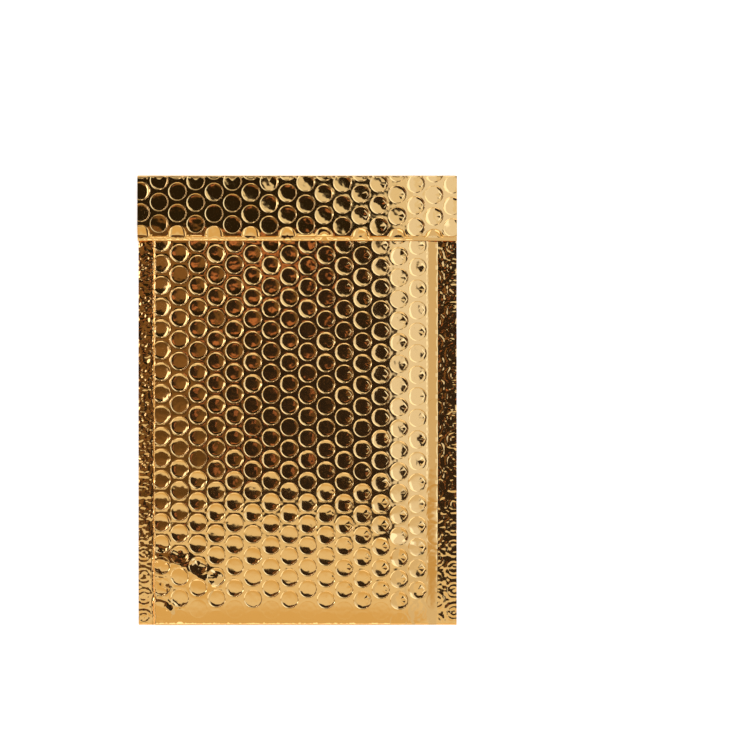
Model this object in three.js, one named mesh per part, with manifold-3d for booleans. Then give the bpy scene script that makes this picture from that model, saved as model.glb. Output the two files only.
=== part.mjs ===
import * as THREE from 'three';
import Module from 'manifold-3d';

// Padded envelope of gold bubble film, closed, lying on its back: +Y is the end with the folded flap.

// Outside of the closed envelope
const WIDTH = 180;
const LENGTH = 253;
const BODY_THICKNESS = 5;

// Welded side margins and the plain band along the bottom fold
const LEFT_SEAL = 8.1;
const RIGHT_SEAL = 11;
const BOTTOM_BAND = 5.1;
const SEAL_THICKNESS = 0.9;
const SEAL_LIFT = 0.9;
const SEAL_CRIMP = 0.22;
const CRIMP_PITCH = 16;

// How far in from its edges the front rounds over, and how high the front is at the bottom band
const LEFT_RUN = 16;
const RIGHT_RUN = 36;
const BOTTOM_RUN = 60;
const BACK_RUN = 9;
const BOTTOM_FULLNESS = 0.5;

// Bubbles: columns run along the length, every second column half a row lower
const COLUMN_PITCH = 10.32;
const ROW_PITCH = 12.16;
const ROW_DRIFT = -0.0124;
const BUBBLE_SHARE = 0.82;
const VALLEY_DEPTH = 0.8;
const RIM_MARGIN = 0.4;
const BODY_BUBBLE = { x: -4.51, y: 33.65 };
const FLAP_BUBBLE = { x: -6.43, y: 105.13 };

// Flap folded over at the top, with a pressed band along its edge
const FLAP_DEPTH = 36.5;
const FLAP_THICKNESS = 2.2;
const FLAP_GAP = 0.35;
const FLAP_BAND = 3.4;
const FLAP_BAND_THICKNESS = 0.8;
const FLAP_DROOP = 1.4;
const FLAP_RUN = 25;
const FOLD_ROUND = 1.4;

const HALF_W = WIDTH / 2;
const HALF_L = LENGTH / 2;
const SEAL_TOP = SEAL_LIFT + SEAL_THICKNESS;
const PANEL_LEFT = -HALF_W + LEFT_SEAL;
const PANEL_RIGHT = HALF_W - RIGHT_SEAL;
const PANEL_BOTTOM = -HALF_L + BOTTOM_BAND;
const FLAP_EDGE = HALF_L - FLAP_DEPTH;
const BODY_TOP = HALF_L - 2;
const PANEL_TOP = BODY_TOP - 2.7;
const FLAP_TOP = BODY_THICKNESS + FLAP_GAP + FLAP_THICKNESS;

const clamp = (v) => Math.min(1, Math.max(0, v));
const ease = (v) => 1 - (1 - clamp(v)) ** 2;

function frontHeight(x, y) {
  const sides = Math.min(ease((x - PANEL_LEFT) / LEFT_RUN), ease((PANEL_RIGHT - x) / RIGHT_RUN));
  const end = BOTTOM_FULLNESS + (1 - BOTTOM_FULLNESS) * ease((y - PANEL_BOTTOM) / BOTTOM_RUN);
  return SEAL_TOP + (BODY_THICKNESS - SEAL_TOP) * sides * end;
}

function backHeight(x, y) {
  const sides = ease(Math.min(x - PANEL_LEFT, PANEL_RIGHT - x) / BACK_RUN);
  const end = BOTTOM_FULLNESS + (1 - BOTTOM_FULLNESS) * ease((y - PANEL_BOTTOM) / BACK_RUN);
  return SEAL_LIFT * (1 - sides * end);
}

function flapDroop(x) {
  return FLAP_DROOP * (1 - ease((HALF_W - Math.abs(x)) / FLAP_RUN));
}

function flapHeight(x, y) {
  const toEdge = 0.8 * (1 - ease((y - FLAP_EDGE) / 12));
  const toFold = 0.5 * (1 - ease((HALF_L - y) / 14));
  return FLAP_TOP - flapDroop(x) - toEdge - toFold;
}

// A skin gathers points, shared where they coincide, and triangles facing outward.
function newSkin() {
  return { points: [], faces: [], index: new Map() };
}

function point(skin, x, y, z) {
  const key = [x, y, z].map((v) => Math.round(v * 1e4)).join();
  if (!skin.index.has(key)) {
    skin.index.set(key, skin.points.length);
    skin.points.push([x, y, z]);
  }
  return skin.index.get(key);
}

function face(skin, a, b, c, flip) {
  if (a !== b && b !== c && c !== a) skin.faces.push(flip ? [a, c, b] : [a, b, c]);
}

// Triangles between two lines of points that run the same way, the second on the right of the first
function zip(skin, left, right, axis, flip = false) {
  const at = (i) => skin.points[i][axis];
  let i = 0;
  let j = 0;
  while (i < left.length - 1 || j < right.length - 1) {
    const onLeft = j === right.length - 1
      || (i < left.length - 1 && at(left[i + 1]) <= at(right[j + 1]));
    const next = onLeft ? left[i + 1] : right[j + 1];
    face(skin, left[i], right[j], next, flip);
    if (onLeft) i += 1;
    else j += 1;
  }
}

function line(skin, from, to, count, place) {
  return Array.from({ length: count + 1 }, (_, k) => {
    const t = from + (to - from) * k / count;
    return point(skin, ...place(t, k));
  });
}

// Six corners of a bubble's share of the film, pointing to the sides
function hexagon(centre, share) {
  const c = COLUMN_PITCH / 3 * share;
  const r = ROW_PITCH / 2 * share;
  const corners = [[2 * c, 0], [c, r], [-c, r], [-2 * c, 0], [-c, -r], [c, -r]];
  return corners.map(([u, v]) => [centre[0] + u, centre[1] + v + ROW_DRIFT * u]);
}

function clip(polygon, area) {
  const sides = [
    (p) => p[0] - area.left,
    (p) => area.right - p[0],
    (p) => p[1] - area.bottom,
    (p) => area.top - p[1],
  ];
  return sides.reduce((shape, depth) => shape.flatMap((p, i) => {
    const q = shape[(i + 1) % shape.length];
    const [dp, dq] = [depth(p), depth(q)];
    const cut = p.map((v, k) => v + (q[k] - v) * dp / (dp - dq));
    return [...(dp >= 0 ? [p] : []), ...(dp >= 0 !== dq >= 0 ? [cut] : [])];
  }), polygon);
}

function edgeDistance(area, [x, y]) {
  return Math.min(x - area.left, area.right - x, y - area.bottom, area.top - y);
}

// A corner that all but meets an edge of the field is moved onto it
function snap(area, p) {
  const near = (v, edges) => edges.find((edge) => Math.abs(v - edge) < RIM_MARGIN) ?? v;
  return [near(p[0], [area.left, area.right]), near(p[1], [area.bottom, area.top])];
}

// A field of bubbles: each a flat-topped cushion with a sloping skirt down to the film between.
// The welds cut off the sides of the bubbles that they cross; the ends of the field keep whole ones.
function bubbleField(skin, area, origin, height, flip = false) {
  const within = {
    left: area.left + RIM_MARGIN,
    right: area.right - RIM_MARGIN,
    bottom: area.bottom + RIM_MARGIN,
    top: area.top - RIM_MARGIN,
  };
  const valley = flip ? -VALLEY_DEPTH : VALLEY_DEPTH;
  const columns = Math.ceil(WIDTH / COLUMN_PITCH);
  const rows = Math.ceil(LENGTH / ROW_PITCH);
  for (let i = -columns; i <= columns; i += 1) {
    for (let j = -rows; j <= rows; j += 1) {
      const u = i * COLUMN_PITCH;
      const centre = [origin.x + u, origin.y + ROW_PITCH * (j + (i & 1) / 2) + ROW_DRIFT * u];
      const cell = clip(hexagon(centre, 1).map((p) => snap(area, p)), area);
      if (cell.length < 3) continue;
      const outer = cell.map((p) => {
        const drop = edgeDistance(area, p) < 1e-6 ? 0 : valley;
        return point(skin, ...p, height(...p) - drop);
      });
      const whole = hexagon(centre, BUBBLE_SHARE);
      const fits = whole.every((p) => p[1] > within.bottom && p[1] < within.top);
      if (fits && edgeDistance(within, centre) > 0) {
        const rim = clip(whole.map((p) => snap(within, p)), within);
        const inner = rim.map((p) => point(skin, ...p, height(...p)));
        fan(skin, inner, flip);
        skirt(skin, inner, outer, centre, flip);
      } else {
        fan(skin, outer, flip);
      }
    }
  }
}

function fan(skin, loop, flip) {
  for (let i = 1; i < loop.length - 1; i += 1) face(skin, loop[0], loop[i], loop[i + 1], flip);
}

// Band of triangles between a bubble's rim and the outline of its cell
function skirt(skin, inner, outer, centre, flip) {
  const turn = (i) => Math.atan2(skin.points[i][1] - centre[1], skin.points[i][0] - centre[0]);
  const round = (loop) => {
    const sorted = loop.map((i) => [turn(i), i]).sort((a, b) => a[0] - b[0]);
    return [...sorted, [sorted[0][0] + 2 * Math.PI, sorted[0][1]]];
  };
  const rim = round(inner);
  const edge = round(outer);
  let i = 0;
  let j = 0;
  while (i < rim.length - 1 || j < edge.length - 1) {
    const onRim = j === edge.length - 1 || (i < rim.length - 1 && rim[i + 1][0] < edge[j + 1][0]);
    const next = onRim ? rim[i + 1][1] : edge[j + 1][1];
    face(skin, rim[i][1], edge[j][1], next, flip);
    if (onRim) i += 1;
    else j += 1;
  }
}

// The points of a field that lie on one of its straight edges, in order
function edgeLine(skin, axis, value, along, from, to, test) {
  return skin.points
    .map((p, i) => [p, i])
    .filter(([p, i]) => Math.abs(p[axis] - value) < 1e-6 && p[along] > from - 1e-6
      && p[along] < to + 1e-6 && test(i))
    .sort((a, b) => a[0][along] - b[0][along])
    .map(([, i]) => i);
}

// One side of the pouch: its bubbles, and round them the welded margins and the bottom fold
function pouchSide(skin, fieldTop, height, weld, fold, flip) {
  const first = skin.points.length;
  const own = (i) => i >= first;
  const area = { left: PANEL_LEFT, right: PANEL_RIGHT, bottom: PANEL_BOTTOM, top: fieldTop };
  bubbleField(skin, area, BODY_BUBBLE, height, flip);
  const bottom = edgeLine(skin, 1, PANEL_BOTTOM, 0, PANEL_LEFT, PANEL_RIGHT, own);
  const left = edgeLine(skin, 0, PANEL_LEFT, 1, PANEL_BOTTOM, fieldTop, own);
  const right = edgeLine(skin, 0, PANEL_RIGHT, 1, PANEL_BOTTOM, fieldTop, own);
  let top = edgeLine(skin, 1, fieldTop, 0, PANEL_LEFT, PANEL_RIGHT, own);
  if (fieldTop < PANEL_TOP) {
    const under = line(skin, PANEL_LEFT, PANEL_RIGHT, 10, (x) => [x, PANEL_TOP, height(x, PANEL_TOP)]);
    zip(skin, under, top, 0, flip);
    left.push(under[0]);
    right.push(under.at(-1));
    top = under;
  }
  const loops = [FOLD_ROUND, 0].map((inset) => {
    const y0 = -HALF_L + inset;
    const y1 = BODY_TOP - inset;
    const share = inset / FOLD_ROUND;
    const x0 = -HALF_W + share * LEFT_SEAL / 2;
    const x1 = HALF_W - share * RIGHT_SEAL / 2;
    const count = 2 * Math.round((y1 - y0) / CRIMP_PITCH);
    const crimp = (k) => (k === 0 || k === count ? 0 : SEAL_CRIMP * (k % 2 ? 1 : -1) * (share ? 1 : -1));
    const end = (x) => {
      const full = ease(Math.min(x - x0, x1 - x) / LEFT_RUN);
      return weld + (fold[inset ? 0 : 1] - weld) * full;
    };
    const across = Math.round(WIDTH / 15);
    return {
      left: line(skin, y0, y1, count, (y, k) => [x0, y, weld + crimp(k)]),
      right: line(skin, y0, y1, count, (y, k) => [x1, y, weld + crimp(k)]),
      bottom: line(skin, x0, x1, across, (x) => [x, y0, end(x)]),
      top: line(skin, x0, x1, across, (x) => [x, y1, weld]),
    };
  });
  const rings = [{ left, right, bottom, top }, ...loops];
  for (let k = 0; k < 2; k += 1) {
    const [inner, outer] = [rings[k], rings[k + 1]];
    zip(skin, outer.left, inner.left, 1, flip);
    zip(skin, inner.right, outer.right, 1, flip);
    zip(skin, inner.bottom, outer.bottom, 0, flip);
    zip(skin, outer.top, inner.top, 0, flip);
  }
  return loops[1];
}

function pouchSkin() {
  const skin = newSkin();
  const foldTop = SEAL_TOP + (BODY_THICKNESS - SEAL_TOP) * BOTTOM_FULLNESS;
  const front = pouchSide(skin, FLAP_EDGE + ROW_PITCH * 0.62, frontHeight, SEAL_TOP, [foldTop, foldTop - 1], false);
  const back = pouchSide(skin, PANEL_TOP, backHeight, SEAL_LIFT, [SEAL_LIFT - 0.4, SEAL_LIFT], true);
  zip(skin, front.right, back.right, 1);
  zip(skin, back.left, front.left, 1);
  zip(skin, front.bottom, back.bottom, 0);
  zip(skin, back.top, front.top, 0);
  return skin;
}

// The flap's bubble film from its pressed band up to the fold and round to the back
function flapSkin() {
  const skin = newSkin();
  const reach = HALF_W + COLUMN_PITCH;
  const area = { left: -reach, right: reach, bottom: FLAP_EDGE - 2, top: PANEL_TOP };
  bubbleField(skin, area, FLAP_BUBBLE, flapHeight);
  const all = () => true;
  const top = edgeLine(skin, 1, area.top, 0, -reach, reach, all);
  const bottom = edgeLine(skin, 1, area.bottom, 0, -reach, reach, all);
  const left = edgeLine(skin, 0, -reach, 1, area.bottom, area.top, all);
  const right = edgeLine(skin, 0, reach, 1, area.bottom, area.top, all);
  const under = (x) => BODY_THICKNESS + FLAP_GAP - flapDroop(x);
  const fold = (x) => flapHeight(x, PANEL_TOP);
  const nose = HALF_L - FOLD_ROUND;
  const profile = [
    (x) => [x, nose, fold(x) - FOLD_ROUND * 0.6],
    (x) => [x, HALF_L, fold(x) - FOLD_ROUND * 1.8],
    (x) => [x, HALF_L, SEAL_TOP + FOLD_ROUND],
    (x) => [x, nose, SEAL_LIFT],
    (x) => [x, PANEL_TOP, SEAL_LIFT],
    (x) => [x, PANEL_TOP, under(x)],
    (x) => [x, area.bottom, under(x)],
  ].map((place) => line(skin, -reach, reach, 16, place));
  const lines = [top, ...profile, bottom];
  for (let k = 0; k < lines.length - 1; k += 1) zip(skin, lines[k + 1], lines[k], 0);
  for (const [end, edge, flip] of [[0, left, true], [-1, right, false]]) {
    const loop = [...edge, ...profile.map((p) => p.at(end))];
    const outline = loop.map((i) => new THREE.Vector2(skin.points[i][1], skin.points[i][2]));
    for (const [a, b, c] of THREE.ShapeUtils.triangulateShape(outline, [])) {
      const turned = THREE.ShapeUtils.isClockWise([a, b, c].map((i) => outline[i]));
      face(skin, loop[a], loop[b], loop[c], turned !== flip);
    }
  }
  return skin;
}

function flapBand() {
  const height = FLAP_BAND_THICKNESS;
  const outline = new THREE.Shape([
    new THREE.Vector2(FLAP_EDGE, 0),
    new THREE.Vector2(FLAP_EDGE + FLAP_BAND + 1, 0),
    new THREE.Vector2(FLAP_EDGE + FLAP_BAND + 1, height + 0.4),
    new THREE.Vector2(FLAP_EDGE, height),
  ]);
  const steps = 16;
  const geometry = new THREE.ExtrudeGeometry(outline, { depth: WIDTH, steps, bevelEnabled: false });
  geometry.applyMatrix4(new THREE.Matrix4().set(0, 0, 1, -HALF_W, 1, 0, 0, 0, 0, 1, 0, 0, 0, 0, 0, 1));
  const place = geometry.attributes.position;
  for (let i = 0; i < place.count; i += 1) {
    place.setZ(i, place.getZ(i) + BODY_THICKNESS + FLAP_GAP - flapDroop(place.getX(i)));
  }
  return geometry;
}

const wasm = await Module();
wasm.setup();

function solidFrom(points, faces) {
  const mesh = new wasm.Mesh({
    numProp: 3,
    vertProperties: new Float32Array(points.flat()),
    triVerts: new Uint32Array(faces.flat()),
  });
  mesh.merge();
  return new wasm.Manifold(mesh);
}

function solidOf(geometry) {
  const place = geometry.attributes.position;
  const order = geometry.index ? Array.from(geometry.index.array) : [...Array(place.count).keys()];
  const skin = newSkin();
  const at = (i) => point(skin, place.getX(i), place.getY(i), place.getZ(i));
  for (let i = 0; i < order.length; i += 3) {
    face(skin, at(order[i]), at(order[i + 1]), at(order[i + 2]));
  }
  return solidFrom(skin.points, skin.faces);
}

function geometryOf(solid) {
  const mesh = solid.getMesh();
  const geometry = new THREE.BufferGeometry();
  geometry.setAttribute('position', new THREE.BufferAttribute(Float32Array.from(mesh.vertProperties), 3));
  geometry.setIndex(new THREE.BufferAttribute(Uint32Array.from(mesh.triVerts), 1));
  geometry.computeVertexNormals();
  return geometry;
}

const pouch = pouchSkin();
const flap = flapSkin();
const trimDepth = HALF_L - FLAP_EDGE - FLAP_BAND;
const trim = new THREE.BoxGeometry(WIDTH, trimDepth, 4 * FLAP_TOP);
trim.translate(0, HALF_L - trimDepth / 2, 0);
const leaf = solidFrom(flap.points, flap.faces).intersect(solidOf(trim)).add(solidOf(flapBand()));
const envelope = solidFrom(pouch.points, pouch.faces).add(leaf);

const gold = new THREE.MeshStandardMaterial({ color: '#d9a548', metalness: 1, roughness: 0.2 });
const body = new THREE.Mesh(geometryOf(envelope), gold);
body.name = 'padded_envelope';

const part = new THREE.Group();
part.name = 'padded_envelope_pack';
part.add(body);

export default part;
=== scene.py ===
import math

import bmesh
import bpy
import numpy as np
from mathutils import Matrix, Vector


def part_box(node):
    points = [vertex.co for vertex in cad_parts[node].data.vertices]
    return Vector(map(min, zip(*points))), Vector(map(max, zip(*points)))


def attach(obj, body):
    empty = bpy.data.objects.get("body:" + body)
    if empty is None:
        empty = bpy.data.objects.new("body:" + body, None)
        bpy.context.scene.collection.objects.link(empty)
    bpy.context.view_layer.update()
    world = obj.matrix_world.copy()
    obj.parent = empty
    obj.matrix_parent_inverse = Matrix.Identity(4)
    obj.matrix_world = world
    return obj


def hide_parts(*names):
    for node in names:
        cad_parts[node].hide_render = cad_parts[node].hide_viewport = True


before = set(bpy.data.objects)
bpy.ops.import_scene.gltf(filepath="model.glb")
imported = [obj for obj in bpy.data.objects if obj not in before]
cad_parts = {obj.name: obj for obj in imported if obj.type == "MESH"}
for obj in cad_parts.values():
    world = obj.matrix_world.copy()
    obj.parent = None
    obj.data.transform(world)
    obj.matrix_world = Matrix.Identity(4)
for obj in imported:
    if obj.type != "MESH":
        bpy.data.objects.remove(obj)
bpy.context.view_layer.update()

# Bubble film: the web that the whole envelope is folded from, polythene bubbles under a metal-coated
# skin. The bubbles stand in columns along the length, and the skin is drawn down over each as a shallow
# dish, so every bubble shows as a round pan with a bright lip and a narrow web of flat film round it.
MM = 0.001
box_low, box_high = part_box("padded_envelope")
HALF_WIDTH = (box_high.x - box_low.x) / 2
FOLD_SWELL = 0.6 * MM
HALF_LENGTH = (box_high.y - box_low.y) / 2 + FOLD_SWELL
COLUMN_PITCH = 10.32 * MM
ROW_PITCH = 12.16 * MM
ROW_DRIFT = -0.0124
BUBBLE_RADIUS = 5.2 * MM
# The dish: its depth varies from bubble to bubble, and its right side is the steeper one.
DISH_DEPTH, DISH_POWER, RIGHT_STEEPER = 0.155 * MM, 4.0, 2
DEPTH_SPREAD, DEPTH_LIMITS = 0.22, (0.4, 1.6)
LIP_DEPTH, LIP_SHARE, LIP_FULLNESS = 0.11 * MM, 0.07, 1.3
# The slack skin in the dish: shallow waves of two sizes and a slight tilt.
SLACK, SLACK_SIZE = 0.021 * MM, 3.0 * MM
FINE_SLACK, FINE_SLACK_SIZE = 0.005 * MM, 1.8 * MM
TILT_SPREAD, SLACK_POWER = 0.006, 4
# The pinch: a ridge bent to a chevron, whose two arms face out to the upper and the lower right.
PINCH_HEIGHT, PINCH_RISE, PINCH_FALL = 0.085 * MM, 1.2 * MM, 0.3 * MM
PINCH_TIP, PINCH_TIP_SPREAD, PINCH_SIDE_SPREAD = 0.80, 0.03, 0.06
PINCH_ARMS, PINCH_ARM_END = ((0.78, 0.62), (0.83, -0.55)), (0.54, 0.30)
PINCH_STRENGTH, PINCH_SPREAD, PINCH_LIMITS = 0.95, 0.3, (0.4, 1.5)
PINCH_RING, PINCH_RING_HALF, PINCH_ZONE = 0.76, 0.14, 0.55
# The web between the bubbles: a shallow valley, deeper toward the left.
WEB_DEPTH, WEB_REACH, WEB_POWER = 0.025 * MM, 0.8 * MM, 3
WEB_LEFT, WEB_LEFT_RUN = 1.4, (-20 * MM, -50 * MM)
# The mesh: rings round each bubble, as shares of its radius, and steps along each side of its cell.
FINE_RINGS, FINE_STEPS = (0.62, 0.78, 0.90, 0.93, 0.985, 1.0, 1.03), 3
COARSE_RINGS, COARSE_STEPS = (0.95,), 2
CUT_REACH, ON_LINE, SAME_PLACE = 0.03 * MM, 0.001 * MM, 0.0001 * MM
FIRST_COLUMN, FIRST_ROW, ROWS_COUNTED, BUBBLES_COUNTED = -40, -30, 61, 8000
CRUMPLE_CELLS, CRUMPLE_START = 256, 1000
film_points = []
film_faces = []


def smooth(low, high, value):
    """A share that goes softly from 0 at low to 1 at high."""
    t = np.clip((value - low) / (high - low), 0, 1)
    return t * t * (3 - 2 * t)


def ease(value):
    """A share that starts steeply at 0 and comes level at 1."""
    return 1 - (1 - np.clip(value, 0, 1)) ** 2


def crumple(x, y, size, seed):
    """Smooth random heights from -1 to 1 over a grid of the given size."""
    n = CRUMPLE_CELLS
    table = np.random.default_rng(seed).uniform(-1, 1, (n, n))
    u, v = x / size + CRUMPLE_START, y / size + CRUMPLE_START
    i, j = np.floor(u).astype(int), np.floor(v).astype(int)
    s, t = smooth(0, 1, u - i), smooth(0, 1, v - j)
    a, b = table[i % n, j % n], table[(i + 1) % n, j % n]
    c, d = table[i % n, (j + 1) % n], table[(i + 1) % n, (j + 1) % n]
    return (a * (1 - s) + b * s) * (1 - t) + (c * (1 - s) + d * s) * t


def column_start(first, i):
    """Where a column's own bubble nearest the first one lies along the length."""
    return first[1] + ROW_PITCH * (i % 2) / 2 + ROW_DRIFT * (i * COLUMN_PITCH)


def nearest_bubble(x, y, first):
    """Distance and offsets from the nearest bubble's centre, and a number for that bubble."""
    best = None
    middle = np.round((x - first[0]) / COLUMN_PITCH).astype(int)
    for step in (-1, 0, 1):
        i = middle + step
        start = column_start(first, i)
        j = np.round((y - start) / ROW_PITCH).astype(int)
        dx, dy = x - first[0] - i * COLUMN_PITCH, y - start - j * ROW_PITCH
        found = np.stack([np.hypot(dx, dy), dx, dy, i, j])
        best = found if best is None else np.where(found[0] < best[0], found, best)
    r, dx, dy = best[:3]
    column, row = best[3:].astype(int)
    return r, dx, dy, (column - FIRST_COLUMN) * ROWS_COUNTED + row - FIRST_ROW


def bubble_relief(x, y, first, seed, pinching, fullness=1.0, power=DISH_POWER, looseness=1.0):
    """Height of the film over its flat web: dishes of varied depth, each pinched on its right side."""
    r, dx, dy, number = nearest_bubble(x, y, first)
    draws = np.random.default_rng(seed).normal(0, 1, (BUBBLES_COUNTED, 6))[number].T
    deeper, tilt_x, tilt_y, tip_x, tip_y, stronger = draws
    k = np.clip(r / BUBBLE_RADIUS, 0, 1)
    depth = DISH_DEPTH * fullness * np.clip(1 + DEPTH_SPREAD * deeper, *DEPTH_LIMITS)
    sag = depth * (1 - k ** (power + RIGHT_STEEPER * np.clip(dx / BUBBLE_RADIUS, 0, 1)))
    lip = LIP_DEPTH * np.clip(LIP_FULLNESS * fullness, 0, 1)
    sag = sag + lip * np.minimum((1 - k) / LIP_SHARE, 1)
    slack = SLACK * crumple(x, y, SLACK_SIZE, seed + 1)
    slack = slack + FINE_SLACK * crumple(x, y, FINE_SLACK_SIZE, seed + 2)
    tilt = TILT_SPREAD * (tilt_x * dx + tilt_y * dy)
    loose = looseness * (slack + tilt) * (1 - k ** SLACK_POWER)
    u = dx - (PINCH_TIP + PINCH_TIP_SPREAD * tip_x) * BUBBLE_RADIUS
    v = dy - PINCH_SIDE_SPREAD * tip_y * BUBBLE_RADIUS
    out = np.maximum(*[a * u + b * v for a, b in PINCH_ARMS])
    pinch = smooth(-PINCH_RISE, 0, out) * (1 - smooth(0, PINCH_FALL, out))
    pinch = pinch * smooth(*PINCH_ARM_END, np.abs(v) / BUBBLE_RADIUS) * pinching
    ridge = PINCH_HEIGHT * np.clip(PINCH_STRENGTH + PINCH_SPREAD * stronger, *PINCH_LIMITS)
    valley = WEB_DEPTH * np.minimum(fullness, 1) ** WEB_POWER
    valley = valley * (1 + WEB_LEFT * smooth(*WEB_LEFT_RUN, x))
    web = -valley * smooth(0, 1, (r - BUBBLE_RADIUS) / WEB_REACH)
    return np.where(k < 1, loose + ridge * pinch - sag, web)


def bubble_sheet(first, left, right, bottom, top, steps, rings, scores=(), closer=()):
    """Flat film ruled with rings round every bubble, trimmed to a rectangle, scored along straight
    lines, and divided more closely at the chosen places."""
    c, r = COLUMN_PITCH / 3, ROW_PITCH / 2
    corners = np.array([(2 * c, 0), (c, r), (-c, r), (-2 * c, 0), (-c, -r), (c, -r)])
    corners[:, 1] += ROW_DRIFT * corners[:, 0]
    shares = np.arange(steps)[:, None] / steps
    outline = np.concatenate([a + (b - a) * shares for a, b in zip(corners, np.roll(corners, -1, 0))])
    spokes = outline / np.linalg.norm(outline, axis=1)[:, None]
    cell = np.concatenate([[(0, 0)], *[spokes * BUBBLE_RADIUS * k for k in rings], outline])
    n = len(outline)
    ring_faces = [(0, 1 + k, 1 + (k + 1) % n) for k in range(n)]
    for ring in range(len(rings)):
        a, b = 1 + ring * n, 1 + (ring + 1) * n
        ring_faces += [(a + k, b + k, b + (k + 1) % n, a + (k + 1) % n) for k in range(n)]
    centres = []
    columns = (left - first[0]) / COLUMN_PITCH, (right - first[0]) / COLUMN_PITCH
    for i in range(math.floor(columns[0]), math.ceil(columns[1]) + 1):
        start = column_start(first, i)
        rows = (bottom - start) / ROW_PITCH, (top - start) / ROW_PITCH
        for j in range(math.floor(rows[0]), math.ceil(rows[1]) + 1):
            centres.append((first[0] + i * COLUMN_PITCH, start + j * ROW_PITCH))
    spread = (np.array(centres)[:, None, :] + cell[None]).reshape(-1, 2)
    _, kept, places = np.unique(np.round(spread / SAME_PLACE).astype(np.int64), axis=0,
                                return_index=True, return_inverse=True)
    places = places.reshape(-1, len(cell))
    flat = np.zeros((len(kept), 3))
    flat[:, :2] = spread[kept]
    faces = [tuple(own[v] for v in f) for own in places for f in ring_faces]
    mesh = bpy.data.meshes.new("flat_film")
    mesh.from_pydata(flat.tolist(), [], faces)
    bm = bmesh.new()
    bm.from_mesh(mesh)
    bpy.data.meshes.remove(mesh)
    trims = [((left, 0, 0), (-1, 0, 0)), ((right, 0, 0), (1, 0, 0)),
             ((0, bottom, 0), (0, -1, 0)), ((0, top, 0), (0, 1, 0))]
    for place, out in trims + list(scores):
        bmesh.ops.bisect_plane(bm, geom=bm.verts[:] + bm.edges[:] + bm.faces[:], dist=CUT_REACH,
                               plane_co=place, plane_no=out, clear_outer=(place, out) in trims)
    for v in bm.verts:
        for axis, line in ((0, left), (0, right), (1, bottom), (1, top)):
            if abs(v.co[axis] - line) < CUT_REACH:
                v.co[axis] = line
    for chosen, cuts in closer:
        middles = np.array([f.calc_center_median()[:2] for f in bm.faces])
        edges = {e for f, take in zip(bm.faces, chosen(*middles.T)) if take for e in f.edges}
        bmesh.ops.subdivide_edges(bm, edges=list(edges), cuts=cuts, use_grid_fill=True)
    bm.verts.index_update()
    flat = np.array([v.co[:2] for v in bm.verts])
    faces = [[v.index for v in f.verts] for f in bm.faces]
    bm.free()
    return flat, faces


def by_pinch(x, y, first):
    """Whether places lie where the bubbles' right sides are pinched."""
    r, dx, dy, _ = nearest_bubble(x, y, first)
    in_ring = np.abs(r / BUBBLE_RADIUS - PINCH_RING) < PINCH_RING_HALF
    return in_ring & (np.abs(dy) < PINCH_ZONE * BUBBLE_RADIUS) & (dx > 0)


def lay(points, faces=()):
    """Adds points and faces to the film and gives the points' numbers."""
    start = sum(len(p) for p in film_points)
    film_points.append(np.asarray(points, float))
    film_faces.extend([start + v for v in f] for f in faces)
    return np.arange(start, start + len(points))


def rim_line(flat, numbers, axis, place):
    """The numbers of a sheet's points along one of its straight edges, in order."""
    on = np.abs(flat[:, axis] - place) < ON_LINE
    return numbers[on][np.argsort(flat[on, 1 - axis])].tolist()


def join(left, right, axis):
    """Triangles between two lines of points that run the same way, the second on the first's right."""
    along = np.concatenate(film_points)[:, axis]
    i = j = 0
    last_left, last_right = len(left) - 1, len(right) - 1
    while i < last_left or j < last_right:
        on_left = j == last_right or (i < last_left and along[left[i + 1]] <= along[right[j + 1]])
        film_faces.append([left[i], right[j], left[i + 1] if on_left else right[j + 1]])
        i, j = (i + 1, j) if on_left else (i, j + 1)


# Front of the pouch: one thickness of film, lying on the back and rounding over to the welds and the
# bottom. It is slack, so its bubbles catch the light at slightly different angles, and it is crushed
# at the lower left, where the corner has been bent and flattened again.
LEFT_WELD = 8.1 * MM
RIGHT_WELD = 11.0 * MM
BODY_THICKNESS = 5.0 * MM
WELD_THICKNESS = 0.7 * MM
WELD_LIFT = 0.7 * MM
WELD_SAG, WELD_SAG_RUN = 0.45 * MM, 55 * MM
WELD_CURL = 0.3 * MM
LEFT_SHOULDER, SHOULDER_SHARE = 1.1 * MM, 0.85
SHOULDER_WANDER, SHOULDER_WANDER_SIZE = 0.3 * MM, 2.2 * MM
LEFT_RUN = 30 * MM
RIGHT_TILT, RIGHT_FLAT, RIGHT_RUN = 0.068, 12 * MM, 32 * MM
LOW_TILT_SHARE, LOW_TILT_RUN = 0.5, 60 * MM
RIGHT_ROLL, RIGHT_ROLL_POWER = 5.6 * MM, 1.2
BOTTOM_DROP, BOTTOM_RUN, BOTTOM_POWER = 2.7 * MM, 90 * MM, 1.5
LEFT_DROP_LOSS, LEFT_DROP_RUN = 0.3, (-35 * MM, -75 * MM)
BOTTOM_ROLL, BOTTOM_ROLL_RUN = 0.4 * MM, 12 * MM
BOTTOM_ROUND = 0.8 * MM
LEAST_RISE = 0.3 * MM
SWAY, SWAY_SIZE = 0.10 * MM, 38 * MM
FLAP_DEPTH = 37.1 * MM
FRONT_REACH = 8 * MM
panel_left = -HALF_WIDTH + LEFT_WELD
panel_right = HALF_WIDTH - RIGHT_WELD
fold_line = -HALF_LENGTH + BOTTOM_ROUND
flap_edge = HALF_LENGTH - FLAP_DEPTH
front_top = flap_edge + FRONT_REACH
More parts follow.
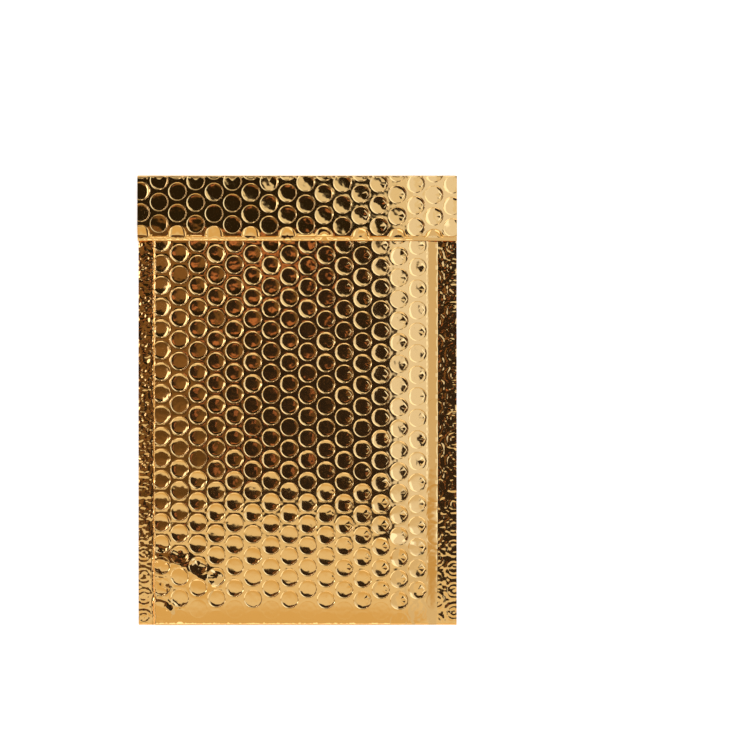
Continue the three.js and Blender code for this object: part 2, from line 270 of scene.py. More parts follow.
# Its bubbles: fullest a little above the bottom, softer there, and pressed out along the bottom fold.
BODY_BUBBLE = (-4.51 * MM, 33.65 * MM)
LOW_FULLNESS = 1.2
FULLNESS_RISE, FULLNESS_RISE_RUN = 0.3, (-104 * MM, -88 * MM)
FULLNESS_FALL, FULLNESS_FALL_RUN = 0.5, (-65 * MM, -30 * MM)
BESIDE_WELD = ((0.4, 4 * MM, 7 * MM), (0.6, 8 * MM, 20 * MM))
SOFTER, SOFTER_TOP, SOFTER_BOTTOM = 1.8, (-70 * MM, -30 * MM), (-102 * MM, -85 * MM)
FLAT_BAND, FLAT_BAND_RUN, FLAT_BAND_REST = 8.5 * MM, 3.5 * MM, 0.08
PINCHED_RUN, PINCHED_SHARE = (-8 * MM, 14 * MM), 0.8
PINCHED_MORE, PINCHED_MORE_RUN = 0.35, (42 * MM, 54 * MM)
# Its creases: each runs from one point to another, with the width of its steep upper side and its
# height, all in millimetres.
CREASES = (
    ((-82.0, -90.0), (-62.0, -94.5), 7.0, 0.52),
    ((-64.0, -95.0), (-48.0, -104.0), 6.5, 0.48),
    ((-82.0, -100.0), (-71.5, -106.0), 4.0, 0.32),
    ((-82.0, -112.5), (-71.0, -118.5), 4.4, 0.36),
    ((48.0, -77.0), (66.0, -83.0), 2.4, 0.12),
)
CREASE_TAIL, CREASE_END = 12, 3 * MM
CREASE_WANDER, CREASE_WANDER_SIZE = 1.3 * MM, 5 * MM
CRUSHED_ABOVE, CRUSHED_BELOW, CRUSHED_LOSS = (1.15, 0.85), (0.06, 0), 0.75
RUMPLE, RUMPLE_SIZE = 0.20 * MM, 3.4 * MM
# Its mesh: score lines in from the welds, and closer division in the creases and the pinches.
SHOULDER_LINES = (0.5 * MM, 1.0 * MM, 1.5 * MM, 2.1 * MM)
ROLL_LINES = (1.5 * MM, 3.6 * MM, 5.4 * MM, 5.8 * MM)
CREASE_CUTS, PINCH_CUTS = 1, 3
PINCH_CUTS_FROM, CUTS_MARGIN = 20 * MM, 4 * MM
MOUTH_GAP, MOUTH_STATIONS, MOUTH_ROWS = 5.5 * MM, 60, 3


def crease_rise(x, y):
    """Height of the ridges where the film was bent, and how far it is crushed on their upper sides."""
    total, crushed = np.zeros_like(x), np.zeros_like(x)
    u = x + CREASE_WANDER * crumple(x, y, CREASE_WANDER_SIZE, seed=14)
    v = y + CREASE_WANDER * crumple(x, y, CREASE_WANDER_SIZE, seed=15)
    for (ax, ay), (bx, by), width, height in CREASES:
        ex, ey = (bx - ax) * MM, (by - ay) * MM
        px, py = u - ax * MM, v - ay * MM
        size = math.hypot(ex, ey)
        along = (px * ex + py * ey) / size
        above = (py * ex - px * ey) / size
        beyond = np.maximum(np.maximum(-along, along - size), 0)
        share = np.clip(1 - beyond / CREASE_END, 0, 1)
        t = np.where(above > 0, above / width, -above / CREASE_TAIL) / MM
        total = np.maximum(total, height * MM * np.clip(1 - t, 0, 1) * share)
        bent = np.where(above > 0, smooth(*CRUSHED_ABOVE, t), smooth(*CRUSHED_BELOW, t))
        crushed = np.maximum(crushed, bent * share)
    return total, crushed


def lean(inward, tilt, flat, run):
    """Fall of a face that tilts evenly near its edge and eases to level over a run further in."""
    t = np.clip((inward - flat) / run, 0, 1)
    return tilt * (np.maximum(flat - inward, 0) + run * (0.5 - t + t ** 3 - t ** 4 / 2))


def weld_level(x, y):
    """Height of the welds' under side: it sinks to the bottom fold, and the right weld curls up."""
    curl = WELD_CURL * np.clip((x - panel_right) / RIGHT_WELD, 0, 1)
    return WELD_LIFT + curl - WELD_SAG * (1 - ease((y - fold_line) / WELD_SAG_RUN))


def front_height(x, y):
    """Height of the front without its bubbles."""
    weld = weld_level(x, y) + WELD_THICKNESS
    wander = SHOULDER_WANDER * (1 + crumple(0 * y, y, SHOULDER_WANDER_SIZE, seed=6))
    left = SHOULDER_SHARE * ease((x - panel_left - wander) / LEFT_SHOULDER)
    left += (1 - SHOULDER_SHARE) * ease((x - panel_left) / LEFT_RUN)
    inward = np.maximum(panel_right - x, 0)
    right = 1 - np.clip(1 - inward / RIGHT_ROLL, 0, 1) ** RIGHT_ROLL_POWER
    upward = np.maximum(y - fold_line, 0)
    drop = BOTTOM_DROP * (1 - LEFT_DROP_LOSS * smooth(*LEFT_DROP_RUN, x))
    crown = BODY_THICKNESS - drop * np.clip(1 - upward / BOTTOM_RUN, 0, 1) ** BOTTOM_POWER
    crown = crown - BOTTOM_ROLL * np.clip(1 - upward / BOTTOM_ROLL_RUN, 0, 1) ** 2
    crown = crown + SWAY * crumple(x, y, SWAY_SIZE, seed=5)
    tilted = LOW_TILT_SHARE + (1 - LOW_TILT_SHARE) * smooth(0, LOW_TILT_RUN, upward)
    crown = crown - lean(inward, RIGHT_TILT, RIGHT_FLAT, RIGHT_RUN) * tilted
    crown = np.maximum(crown, weld + LEAST_RISE)
    return weld + (crown - weld) * np.minimum(left, right)


def front_fullness(x, y):
    """How deep the bubbles are drawn in: most above the bottom, and less beside the right weld."""
    fullness = LOW_FULLNESS + FULLNESS_RISE * smooth(*FULLNESS_RISE_RUN, y)
    fullness = fullness - FULLNESS_FALL * smooth(*FULLNESS_FALL_RUN, y)
    inward = panel_right - x
    return fullness * sum(share * smooth(near, far, inward) for share, near, far in BESIDE_WELD)


def front_skin(x, y):
    """Height of the finished front, with its bubbles, and its creases with the film crushed in them."""
    crease, crushed = crease_rise(x, y)
    _, _, dy, _ = nearest_bubble(x, y, BODY_BUBBLE)
    above_band = smooth(fold_line + FLAT_BAND, fold_line + FLAT_BAND + FLAT_BAND_RUN, y - dy)
    standing = FLAT_BAND_REST + (1 - FLAT_BAND_REST) * above_band
    rumple = RUMPLE * (0.5 - np.abs(crumple(x, y, RUMPLE_SIZE, seed=8))) * crushed
    power = DISH_POWER - SOFTER * (1 - smooth(*SOFTER_TOP, y)) * smooth(*SOFTER_BOTTOM, y)
    pinching = PINCHED_SHARE + PINCHED_MORE * smooth(*PINCHED_MORE_RUN, x)
    pinching = pinching * smooth(*PINCHED_RUN, x)
    relief = bubble_relief(x, y, BODY_BUBBLE, seed=11, pinching=pinching,
                           fullness=front_fullness(x, y), power=power)
    return front_height(x, y) + relief * standing * (1 - CRUSHED_LOSS * crushed) + crease + rumple


def front_creases(x, y):
    return (crease_rise(x, y)[1] > 0) & (x < 0)


def front_pinches(x, y):
    inside = (x > PINCH_CUTS_FROM) & (x < panel_right - CUTS_MARGIN)
    inside = inside & (y > fold_line + CUTS_MARGIN) & (y < front_top - CUTS_MARGIN)
    return inside & by_pinch(x, y, BODY_BUBBLE)


front_scores = [((panel_left + step, 0, 0), (1, 0, 0)) for step in SHOULDER_LINES]
front_scores += [((panel_right - step, 0, 0), (1, 0, 0)) for step in ROLL_LINES]
flat, faces = bubble_sheet(BODY_BUBBLE, panel_left, panel_right, fold_line, front_top,
                           FINE_STEPS, FINE_RINGS, front_scores,
                           ((front_creases, CREASE_CUTS), (front_pinches, PINCH_CUTS)))
front = lay(np.column_stack([flat, front_skin(*flat.T)]), faces)
front_left = rim_line(flat, front, 0, panel_left)
front_right = rim_line(flat, front, 0, panel_right)
front_bottom = rim_line(flat, front, 1, fold_line)
mouth = HALF_LENGTH - MOUTH_GAP
stations = np.linspace(panel_left, panel_right, MOUTH_STATIONS)
line_above = rim_line(flat, front, 1, front_top)
for y in np.linspace(front_top, mouth, MOUTH_ROWS + 1)[1:]:
    heights = front_height(stations, y)
    mouth_row = lay(np.column_stack([stations, np.full(MOUTH_STATIONS, y), heights])).tolist()
    join(mouth_row, line_above, 0)
    line_above = mouth_row
    front_left.append(mouth_row[0])
    front_right.append(mouth_row[-1])

# Side welds: both layers of film pressed together by a hot bar, so the bubbles burst and lie crushed.
# Their rims stay as crinkled rings in a flat margin, which is cut through at its outer edge.
WELD_STEP = 0.64 * MM
WELD_SHOULDER = 0.5 * MM
LEFT_CRINKLE, RIGHT_CRINKLE, CRINKLE_SIZE = 0.08 * MM, 0.06 * MM, 1.7 * MM
FINE_CRINKLE, FINE_CRINKLE_SIZE = 0.6, 1.1 * MM
CRINKLE_RUN = 1.2 * MM
RING_MARK, RING_MARKS = 0.11 * MM, ((0.86, 0.42 * MM), (0.46, 0.38 * MM))
RING_UNEVEN, RING_UNEVEN_SIZE, RING_STRENGTH = 0.5, 3 * MM, 0.8
LOW_RUN, LOW_CRINKLE_LOSS, HIGH_RING_SHARE = (20 * MM, 95 * MM), 0.45, 0.45
UNDER_FLAP_LOSS, UNDER_FLAP_RUN = 0.7, 3 * MM


def weld_crinkle(x, y):
    """Height of the crushed film over the flat weld: fine crinkles, and the rings of burst bubbles."""
    r, _, _, _ = nearest_bubble(x, y, BODY_BUBBLE)
    depth = smooth(0, CRINKLE_RUN, -np.minimum(x - panel_left, panel_right - x))
    low = 1 - smooth(*[fold_line + run for run in LOW_RUN], y)
    marks = sum(np.exp(-((r - share * BUBBLE_RADIUS) / reach) ** 2) for share, reach in RING_MARKS)
    marks = marks * (HIGH_RING_SHARE + (1 - HIGH_RING_SHARE) * np.maximum(low, x > 0))
    marks = marks * (RING_STRENGTH + RING_UNEVEN * crumple(x, y, RING_UNEVEN_SIZE, seed=21))
    fine = 1 - 2 * np.abs(crumple(x, y, CRINKLE_SIZE, seed=22))
    fine = fine + FINE_CRINKLE * crumple(x, y, FINE_CRINKLE_SIZE, seed=23)
    fine = fine * np.where(x < 0, LEFT_CRINKLE, RIGHT_CRINKLE) * (1 - LOW_CRINKLE_LOSS * low)
    open_share = 1 - UNDER_FLAP_LOSS * smooth(flap_edge, flap_edge + UNDER_FLAP_RUN, y)
    return depth * open_share * (fine + RING_MARK * marks)


def weld_strip(x0, x1):
    columns = np.linspace(x0, x1, round((x1 - x0) / WELD_STEP) + 1)
    rows = np.linspace(fold_line, mouth, round((mouth - fold_line) / WELD_STEP) + 1)
    y, x = (g.ravel() for g in np.meshgrid(rows, columns, indexing="ij"))
    n = len(columns)
    faces = [(k, k + 1, k + 1 + n, k + n) for k in range((len(rows) - 1) * n) if (k + 1) % n]
    numbers = lay(np.column_stack([x, y, front_height(x, y) + weld_crinkle(x, y)]), faces)
    return numbers.reshape(len(rows), n)


left_weld = weld_strip(-HALF_WIDTH, panel_left - WELD_SHOULDER)
right_weld = weld_strip(panel_right + WELD_SHOULDER, HALF_WIDTH)
join(left_weld[:, -1].tolist(), front_left, 1)
join(front_right, right_weld[:, 0].tolist(), 1)

# Back of the pouch: the same web turned under at the bottom fold, lying flat on its bubbles.
# Its edges lift a little to the welds and to both folds.
BACK_RUN = 9 * MM
BACK_END_SHARE = 0.5
BACK_DISH, BACK_DISH_POWER, BACK_WEB = 0.2 * MM, 3, 0.3 * MM
BACK_CRINKLE = 0.6
TOP_ROUND = 1.0 * MM
top_line = HALF_LENGTH - TOP_ROUND


def back_height(x, y):
    sides = ease(np.minimum(x - panel_left, panel_right - x) / BACK_RUN)
    ends = ease(np.minimum(y - fold_line, top_line - y) / BACK_RUN)
    lying = sides * (BACK_END_SHARE + (1 - BACK_END_SHARE) * ends)
    r, _, _, _ = nearest_bubble(x, y, BODY_BUBBLE)
    hollow = BACK_DISH * (1 - np.clip(r / BUBBLE_RADIUS, 0, 1) ** BACK_DISH_POWER)
    hollow = hollow + BACK_WEB * smooth(0, 1, (r - BUBBLE_RADIUS) / WEB_REACH)
    crinkle = BACK_CRINKLE * np.maximum(weld_crinkle(x, y), 0)
    return weld_level(x, y) * (1 - lying) + hollow * lying + crinkle


flat, faces = bubble_sheet(BODY_BUBBLE, -HALF_WIDTH, HALF_WIDTH, fold_line, top_line,
                           COARSE_STEPS, COARSE_RINGS)
back = lay(np.column_stack([flat, back_height(*flat.T)]), [f[::-1] for f in faces])
back_bottom = rim_line(flat, back, 1, fold_line)
back_top = rim_line(flat, back, 1, top_line)

# Bottom fold: the same film turned through a half circle from the front to the back, and pressed, so
# no bubbles are left standing in it. It joins the welds and the front to the back without a seam.
FOLD_STATIONS = 181
BOTTOM_ANGLES = (60, 36, 12, -12, -36, -60)
across = np.linspace(-HALF_WIDTH, HALF_WIDTH, FOLD_STATIONS)
along_fold = np.full(FOLD_STATIONS, fold_line)
fold_top = front_height(across, along_fold) + weld_crinkle(across, along_fold)
fold_under = back_height(across, along_fold)
line_above = left_weld[0].tolist() + front_bottom + right_weld[0].tolist()
for angle in np.radians(BOTTOM_ANGLES):
    y = np.full(FOLD_STATIONS, -HALF_LENGTH + BOTTOM_ROUND * (1 - math.cos(angle)))
    z = (fold_top + fold_under) / 2 + (fold_top - fold_under) / 2 * math.sin(angle)
    row = lay(np.column_stack([across, y, z])).tolist()
    join(line_above, row, 0)
    line_above = row
join(line_above, back_bottom, 0)

# Flap: the end of the web folded over the mouth and laid on the front. Its free edge is pressed into a
# plain band, which squashes some of the bubbles that it cuts, and the bubbles run on to its cut sides.
# The fold at the top is a soft roll.
FLAP_THICKNESS = 1.6 * MM
FLAP_GAP = 0.35 * MM
FLAP_BAND = 2.1 * MM
BAND_THICKNESS, BAND_RISE = 0.7 * MM, 0.27 * MM
BAND_UNEVEN, BAND_UNEVEN_SIZE = 0.04 * MM, 5 * MM
BAND_LIP, BAND_LIP_FALL = 0.35 * MM, 0.25 * MM
BAND_STEP = (-0.1 * MM, 0.5 * MM)
PRESS_TILT, PRESS_RUN, PRESS_POWER = 0.17, 6 * MM, 6
PRESS_SHARES, PRESS_REACH = (0.2, 0.8, 1.0), 2.5 * MM
EDGE_ROLL, EDGE_ROLL_RUN = 0.32 * MM, 8.5 * MM
EDGE_ROLL_SHARE, EDGE_ROLL_LEFT, EDGE_ROLL_LEFT_RUN = 0.9, 1.3, (-20 * MM, -60 * MM)
EDGE_ROLL_SPREAD, EDGE_ROLL_SIZE = 0.9, 24 * MM
FLAP_SWAY, FLAP_SWAY_SIZE = 0.1 * MM, 30 * MM
FLAP_LEAN = -0.016
FLAP_LEFT_DROOP, FLAP_LEFT_RUN = 0.15 * MM, 16 * MM
FLAP_TILT, FLAP_FLAT, FLAP_RUN = 0.047, 19.5 * MM, 26 * MM
FLAP_BUBBLE = (-5.5 * MM, 104.75 * MM)
FLAP_FULLNESS, FLAP_FULLER, FLAP_FULLER_RUN = 0.55, 0.4, (-40 * MM, 10 * MM)
FLAP_PINCHED, FLAP_PINCHED_RUN = 0.7, (25 * MM, 40 * MM)
FLAP_LOOSENESS = 1.8
FLAP_CUTS_FROM, BAND_MARGIN = 30 * MM, 2 * MM
TOP_ANGLES = (70, 50, 30, 10, -10, -30, -50, -70)
band_line = flap_edge + FLAP_BAND


def flap_under(x):
    """Height of the flap's under side, which droops a little at the left and leans to the right."""
    droop = FLAP_LEFT_DROOP * (1 - ease((HALF_WIDTH + x) / FLAP_LEFT_RUN))
    return BODY_THICKNESS + FLAP_GAP - droop - lean(HALF_WIDTH - x, FLAP_TILT, FLAP_FLAT, FLAP_RUN)


def flap_skin(x, y):
    """Height of the flap's upper side: the pressed band, and behind it the crown with its bubbles."""
    upward = y - flap_edge
    standing = smooth(band_line + BAND_STEP[0], band_line + BAND_STEP[1], y)
    roll = EDGE_ROLL_SHARE + EDGE_ROLL_LEFT * smooth(*EDGE_ROLL_LEFT_RUN, x)
    roll = EDGE_ROLL * (roll + EDGE_ROLL_SPREAD * crumple(x, 0 * x, EDGE_ROLL_SIZE, seed=34))
    crown = FLAP_THICKNESS - roll * (1 - ease(upward / EDGE_ROLL_RUN)) - FLAP_LEAN * (top_line - y)
    crown = crown + FLAP_SWAY * crumple(x, y, FLAP_SWAY_SIZE, seed=31)
    band = BAND_THICKNESS + BAND_RISE * np.clip(upward / FLAP_BAND, 0, 1)
    band = band + BAND_UNEVEN * crumple(x, y, BAND_UNEVEN_SIZE, seed=32)
    lip = BAND_LIP_FALL * (1 - np.clip(upward / BAND_LIP, 0, 1))
    fullness = FLAP_FULLNESS + FLAP_FULLER * smooth(*FLAP_FULLER_RUN, x)
    pinching = FLAP_PINCHED * smooth(*FLAP_PINCHED_RUN, x)
    relief = bubble_relief(x, y, FLAP_BUBBLE, seed=33, pinching=pinching,
                           fullness=fullness, looseness=FLAP_LOOSENESS)
    r, _, dy, number = nearest_bubble(x, y, FLAP_BUBBLE)
    squashed = np.random.default_rng(seed=35).choice(PRESS_SHARES, BUBBLES_COUNTED)[number]
    squashed = squashed * (y - dy < band_line + PRESS_REACH)
    squash = PRESS_TILT * squashed * np.maximum(band_line + PRESS_RUN - y, 0)
    squash = squash * (1 - np.clip(r / BUBBLE_RADIUS, 0, 1) ** PRESS_POWER)
    return flap_under(x) + band - lip + np.maximum(crown + relief - squash - band, 0) * standing


def flap_pinches(x, y):
    inside = (x > FLAP_CUTS_FROM) & (x < HALF_WIDTH - CUTS_MARGIN)
    inside = inside & (y > band_line + BAND_MARGIN) & (y < top_line - CUTS_MARGIN)
    return inside & by_pinch(x, y, FLAP_BUBBLE)


band_steps = (flap_edge + BAND_LIP, band_line + BAND_STEP[0], band_line + BAND_STEP[1])
flat, faces = bubble_sheet(FLAP_BUBBLE, -HALF_WIDTH, HALF_WIDTH, flap_edge, top_line,
                           FINE_STEPS, FINE_RINGS, [((0, y, 0), (0, 1, 0)) for y in band_steps],
                           ((flap_pinches, PINCH_CUTS),))
flap = lay(np.column_stack([flat, flap_skin(*flat.T)]), faces)
flap_top = rim_line(flat, flap, 1, top_line)
flap_bottom = rim_line(flat, flap, 1, flap_edge)
along_fold = np.full(FOLD_STATIONS, top_line)
fold_top = flap_skin(across, along_fold)
fold_under = back_height(across, along_fold)
line_below = flap_top
for angle in np.radians(TOP_ANGLES):
    y = np.full(FOLD_STATIONS, HALF_LENGTH - TOP_ROUND * (1 - math.cos(angle)))
    z = (fold_top + fold_under) / 2 + (fold_top - fold_under) / 2 * math.sin(angle)
    row = lay(np.column_stack([across, y, z])).tolist()
    join(row, line_below, 0)
    line_below = row
join(back_top, line_below, 0)

# Underside of the flap: the inner face of the film, a hair's breadth above the front as far as the
# mouth. Over the thin welds nothing presses its bubbles, so they hang down there and show at the cut
# sides, behind the pressed band.
LEFT_HANG, RIGHT_HANG, HANG_RUN = 2.3 * MM, 0.9 * MM, 3.5 * MM
HANG_START, HANG_FULL = 1 * MM, 6 * MM
HANGING_ROWS = 5
hang_left, hang_right = panel_left - WELD_SHOULDER, panel_right + WELD_SHOULDER
hang = LEFT_HANG * smooth(hang_left, hang_left - HANG_RUN, across)
hang = hang + RIGHT_HANG * smooth(hang_right, hang_right + HANG_RUN, across)
line_below = left_weld[-1].tolist() + mouth_row + right_weld[-1].tolist()
hanging_rows = np.linspace(mouth, flap_edge + HANG_FULL, HANGING_ROWS)
for y in (*hanging_rows, flap_edge + BAND_MARGIN, flap_edge):
    z = flap_under(across) - hang * smooth(flap_edge + HANG_START, flap_edge + HANG_FULL, y)
    row = lay(np.column_stack([across, np.full(FOLD_STATIONS, y), z])).tolist()
    join(row, line_below, 0)
    line_below = row
join(flap_bottom, line_below, 0)

# The finished web: all of it is one skin of film, closed along its two cut sides, where the layers end
# together at the welds and the flap. Its edges stay sharp where the film is cut or pressed.
SHARP_ANGLE = 50
mesh = bpy.data.meshes.new("envelope_film")
mesh.from_pydata(np.concatenate(film_points).tolist(), [], film_faces)
bm = bmesh.new()
bm.from_mesh(mesh)
for side in (-HALF_WIDTH, HALF_WIDTH):
    cut = [e for e in bm.edges if e.is_boundary and all(abs(v.co.x - side) < ON_LINE for v in e.verts)]
    bmesh.ops.edgeloop_fill(bm, edges=cut)
bmesh.ops.triangulate(bm, faces=[f for f in bm.faces if len(f.verts) > 4], ngon_method="EAR_CLIP")
bmesh.ops.recalc_face_normals(bm, faces=bm.faces)
bm.to_mesh(mesh)
bm.free()
mesh.polygons.foreach_set("use_smooth", [True] * len(mesh.polygons))
mesh.set_sharp_from_angle(angle=math.radians(SHARP_ANGLE))
envelope = bpy.data.objects.new("envelope_film", mesh)
bpy.context.scene.collection.objects.link(envelope)
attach(envelope, "root")
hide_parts("padded_envelope")


def linear(code):
    """Linear red, green, blue and alpha of an sRGB hex colour."""
    parts = [int(code[k:k + 2], 16) / 255 for k in (1, 3, 5)]
    return (*[c / 12.92 if c <= 0.04045 else ((c + 0.055) / 1.055) ** 2.4 for c in parts], 1.0)


def add_node(tree, kind, inputs=None, **settings):
    """Adds a node with its settings, and links or sets its inputs."""
    made = tree.nodes.new(kind)
    for name, value in settings.items():
        setattr(made, name, value)
    for socket, value in (inputs or {}).items():
        if isinstance(value, bpy.types.NodeSocket):
            tree.links.new(value, made.inputs[socket])
        else:
            made.inputs[socket].default_value = value
    return made


# Metallised polyester: a skin with a vapour-coated metal layer under a gold-tinted lacquer, laminated
# to the bubbles. It is nearly as smooth as a mirror, so reflections are sharp in form, and handling
# leaves a slight haze and a fine crinkle that break them a little.
GOLD, PALE_GOLD, TONE_SIZE = "#E2B56F", "#E7BC79", 30 * MM
HAZE_SIZE, ROUGH_LEAST, ROUGH_MOST = 4 * MM, 0.025, 0.075
HANDLED_SIZE, HANDLED_DEPTH, HANDLED_STRENGTH = 2.4 * MM, 0.2 * MM, 0.13
film = bpy.data.materials.new("metallised_polyester_gold")
film.use_nodes = True
tree = film.node_tree
tree.nodes.clear()
place = add_node(tree, "ShaderNodeTexCoord").outputs["Object"]
tone = add_node(tree, "ShaderNodeTexNoise", {"Vector": place, "Scale": 1 / TONE_SIZE, "Detail": 3.0})
colour = add_node(tree, "ShaderNodeMix", {
    "Factor": tone.outputs["Fac"], "A": linear(GOLD), "B": linear(PALE_GOLD)}, data_type="RGBA")
haze = add_node(tree, "ShaderNodeTexNoise", {"Vector": place, "Scale": 1 / HAZE_SIZE, "Detail": 4.0})
rough = add_node(tree, "ShaderNodeMapRange", {
    "Value": haze.outputs["Fac"], "To Min": ROUGH_LEAST, "To Max": ROUGH_MOST})
handled = add_node(tree, "ShaderNodeTexNoise", {
    "Vector": place, "Scale": 1 / HANDLED_SIZE, "Detail": 0.0})
bump = add_node(tree, "ShaderNodeBump", {
    "Height": handled.outputs["Fac"], "Strength": HANDLED_STRENGTH, "Distance": HANDLED_DEPTH})
shader = add_node(tree, "ShaderNodeBsdfPrincipled", {
    "Base Color": colour.outputs["Result"], "Metallic": 1.0, "Roughness": rough.outputs["Result"],
    "Normal": bump.outputs["Normal"]})
add_node(tree, "ShaderNodeOutputMaterial", {"Surface": shader.outputs["BSDF"]})
mesh.materials.append(film)

# Floor: a broad sheet of white card under the envelope, matt and pressed smooth. To the camera, and in
# reflections, it glows a little, so that it shows as white without more light on the envelope.
FLOOR_HALF = 2.5
CARD_WHITE, CARD_GLOW = "#F3F2EF", 0.45
floor_corners = [(x * FLOOR_HALF, y * FLOOR_HALF, 0) for x, y in ((-1, -1), (1, -1), (1, 1), (-1, 1))]
floor_mesh = bpy.data.meshes.new("floor")
floor_mesh.from_pydata(floor_corners, [], [(0, 1, 2, 3)])
floor = bpy.data.objects.new("floor", floor_mesh)
bpy.context.scene.collection.objects.link(floor)
card = bpy.data.materials.new("white_card")
card.use_nodes = True
tree = card.node_tree
tree.nodes.clear()
path = add_node(tree, "ShaderNodeLightPath").outputs
seen = path["Is Camera Ray"]
for kind in ("Is Glossy Ray", "Is Transmission Ray"):
    seen = add_node(tree, "ShaderNodeMath", {0: seen, 1: path[kind]}, operation="MAXIMUM").outputs[0]
glow = add_node(tree, "ShaderNodeMath", {0: seen, 1: CARD_GLOW}, operation="MULTIPLY")
matt = add_node(tree, "ShaderNodeBsdfDiffuse", {"Color": linear(CARD_WHITE)})
lift = add_node(tree, "ShaderNodeEmission", {"Color": linear("#FFFFFF"), "Strength": glow.outputs[0]})
both = add_node(tree, "ShaderNodeAddShader", {0: matt.outputs[0], 1: lift.outputs[0]})
add_node(tree, "ShaderNodeOutputMaterial", {"Surface": both.outputs[0]})
floor_mesh.materials.append(card)

# Studio: a white tent with a dark opening overhead, where bare wood shows on the left. The right wall
# comes in closest, the front one is warmed by the table, and narrow lit strips stand in three of them.
# Each direction is measured by how far it leans aside and ahead for one unit up.
HORIZON = 0.02
CORNER_WAY, FRONT_WAY = (0.71, 0.71, 0), (-0.15, -1, 0)
RIPPLE_SCALE, RIPPLE_MIDDLE, RIPPLE_REACH = 30.0, (0.5, 0.5, 0.5), (0.06, 0.06, 0)
MOTTLE_SCALE, GRAIN_SCALE = 70.0, 38.0
world = bpy.data.worlds.new("studio")
bpy.context.scene.world = world
world.use_nodes = True
tree = world.node_tree
tree.nodes.clear()
way = add_node(tree, "ShaderNodeTexCoord").outputs["Generated"]
way = add_node(tree, "ShaderNodeSeparateXYZ", {0: way}).outputs
up = add_node(tree, "ShaderNodeMath", {0: way["Z"], 1: HORIZON}, operation="MAXIMUM").outputs[0]
aside = add_node(tree, "ShaderNodeMath", {0: way["X"], 1: up}, operation="DIVIDE").outputs[0]
ahead = add_node(tree, "ShaderNodeMath", {0: way["Y"], 1: up}, operation="DIVIDE").outputs[0]
leaning = add_node(tree, "ShaderNodeCombineXYZ", {0: aside, 1: ahead}).outputs[0]
corner = add_node(tree, "ShaderNodeVectorMath", {
    0: leaning, 1: CORNER_WAY}, operation="DOT_PRODUCT").outputs["Value"]
front_wall = add_node(tree, "ShaderNodeVectorMath", {
    0: leaning, 1: FRONT_WAY}, operation="DOT_PRODUCT").outputs["Value"]
ripple = add_node(tree, "ShaderNodeTexNoise", {"Vector": leaning, "Scale": RIPPLE_SCALE, "Detail": 2.0})
ripple = add_node(tree, "ShaderNodeVectorMath", {
    0: ripple.outputs["Color"], 1: RIPPLE_MIDDLE}, operation="SUBTRACT")
wavy = add_node(tree, "ShaderNodeVectorMath", {
    0: ripple.outputs[0], 1: RIPPLE_REACH, 2: leaning}, operation="MULTIPLY_ADD")
wavy = add_node(tree, "ShaderNodeSeparateXYZ", {0: wavy.outputs[0]})
wood_x, wood_y = wavy.outputs["X"], wavy.outputs["Y"]
mottle = add_node(tree, "ShaderNodeTexNoise", {
    "Vector": leaning, "Scale": MOTTLE_SCALE, "Detail": 1.0}).outputs["Fac"]
grain = add_node(tree, "ShaderNodeTexNoise", {
    "Vector": leaning, "Scale": GRAIN_SCALE, "Detail": 1.0}).outputs["Fac"]
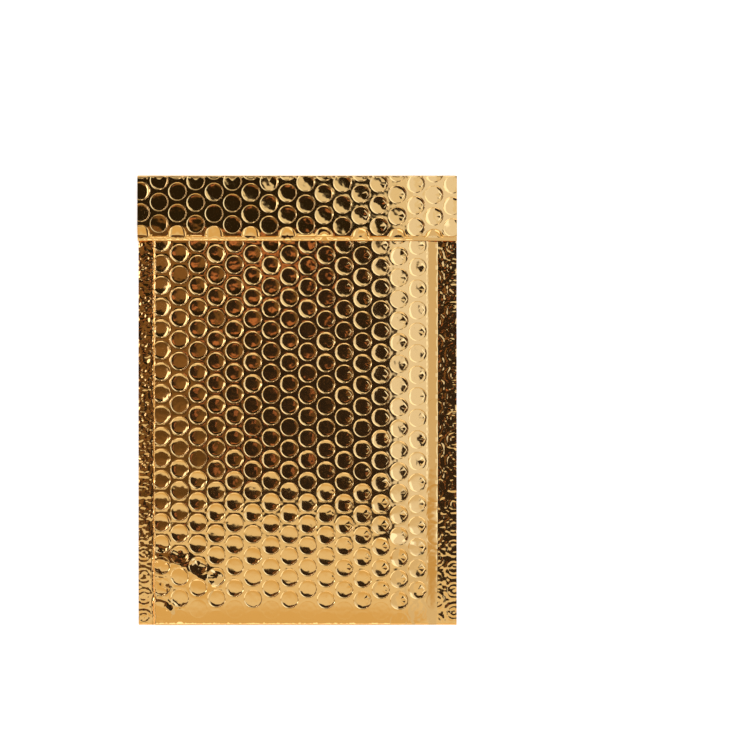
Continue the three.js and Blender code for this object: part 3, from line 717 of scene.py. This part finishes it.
# Each row is laid over those before it: a colour, its level, and the edges between which it fades in.
OPENING = "#2E2827"
STUDIO = (
    # the opening overhead, its brown left part and the bare wood
    ("#584638", 1.0, ((mottle, 0.54, 0.64),)),
    ("#6A5438", 1.0, ((aside, -0.075, -0.13),)),
    ("#8C6E4C", 1.0, ((aside, -0.08, -0.14), (ahead, -0.06, 0.02))),
    ("#CE9070", 1.0, ((wood_x, -0.105, -0.095), (wood_x, -0.032, -0.048),
                      (wood_y, 0.034, 0.050), (wood_y, 0.084, 0.076), (grain, 0.38, 0.42))),
    ("#B88068", 1.0, ((wood_x, -0.100, -0.092), (wood_x, -0.070, -0.076),
                      (wood_y, -0.082, -0.074), (wood_y, -0.012, -0.020), (grain, 0.36, 0.40))),
    ("#2C261C", 1.0, ((ahead, 0.080, 0.094),)),
    # the left wall, with two lit strips
    ("#F4F2FF", 3.2, ((aside, -0.225, -0.25), (aside, -0.36, -0.33), (ahead, -0.04, 0.03))),
    ("#DDE2F0", 1.6, ((aside, -0.40, -0.46),)),
    ("#D8E4FF", 9.0, ((aside, -0.95, -1.10), (ahead, 0.01, 0.04), (ahead, 0.34, 0.26))),
    # the wall behind, and the corner between it and the right wall
    ("#B0A8A4", 1.0, ((ahead, 0.32, 0.40), (ahead, 0.75, 0.55))),
    ("#F2F7FF", 1.1, ((corner, 0.098, 0.112), (ahead, 0.5, 0.36))),
    # the wall in front, with a lit strip
    ("#FFFBF2", 1.0, ((front_wall, 0.135, 0.146),)),
    ("#F2DCB0", 1.0, ((front_wall, 0.18, 0.32),)),
    ("#F4F6FF", 2.0, ((front_wall, 0.48, 0.52), (front_wall, 0.95, 0.85))),
    # a dark panel that stands before the left wall
    ("#6A5852", 1.0, ((aside, -0.34, -0.42), (aside, -1.00, -0.90),
                      (ahead, 0.95, 0.80), (ahead, -0.95, -0.80))),
    # the right wall, with a lit strip, its foot, and a lit panel in each of its corners
    ("#DCE6FF", 1.45, ((aside, 0.096, 0.108),)),
    ("#F4F2F0", 0.97, ((aside, 0.096, 0.108), (ahead, -0.08, -0.18))),
    ("#C8DCFF", 2.6, ((aside, 0.20, 0.23), (aside, 0.46, 0.38), (ahead, -0.13, -0.08))),
    ("#F0EAE2", 0.95, ((aside, 0.68, 0.80),)),
    ("#DEC698", 1.0, ((aside, 0.25, 0.40), (ahead, -0.08, -0.14))),
    ("#E8F0FF", 2.2, ((aside, 0.34, 0.42), (aside, 1.10, 0.95),
                      (ahead, -0.26, -0.34), (ahead, -1.10, -0.95))),
    ("#E8F0FF", 2.2, ((aside, 0.34, 0.42), (aside, 1.10, 0.95),
                      (ahead, 0.22, 0.30), (ahead, 1.10, 0.95))),
)
shade = linear(OPENING)
for code, level, edges in STUDIO:
    mask = 1.0
    for value, near, far in edges:
        edge = add_node(tree, "ShaderNodeMapRange", {"Value": value, "From Min": near, "From Max": far},
                        interpolation_type="SMOOTHSTEP").outputs["Result"]
        mask = add_node(tree, "ShaderNodeMath", {0: edge, 1: mask}, operation="MULTIPLY").outputs[0]
    paint = [level * part for part in linear(code)]
    shade = add_node(tree, "ShaderNodeMix", {
        "Factor": mask, "A": shade, "B": paint}, data_type="RGBA").outputs["Result"]
path = add_node(tree, "ShaderNodeLightPath").outputs
backdrop = add_node(tree, "ShaderNodeMix", {
    "Factor": path["Is Camera Ray"], "A": shade, "B": linear("#FFFFFF")}, data_type="RGBA")
light = add_node(tree, "ShaderNodeBackground", {"Color": backdrop.outputs["Result"], "Strength": 1.0})
add_node(tree, "ShaderNodeOutputWorld", {"Surface": light.outputs[0]})

# Camera: it hangs straight above the table on a long arm and looks down, with the envelope left of
# and a little below the middle of a square picture.
PICTURE_WIDTH = 422.9 * MM
CAMERA_HEIGHT = 1.0
CAMERA_PLACE = (43.8 * MM, 14.4 * MM)
SENSOR_WIDTH = 36
FARTHEST_SEEN = 20
lens = bpy.data.cameras.new("camera")
lens.sensor_width = SENSOR_WIDTH
lens.lens = SENSOR_WIDTH * CAMERA_HEIGHT / PICTURE_WIDTH
lens.clip_end = FARTHEST_SEEN
camera = bpy.data.objects.new("camera", lens)
camera.location = (*CAMERA_PLACE, CAMERA_HEIGHT + BODY_THICKNESS)
bpy.context.scene.collection.objects.link(camera)
bpy.context.scene.camera = camera
bpy.context.scene.view_settings.view_transform = "Standard"
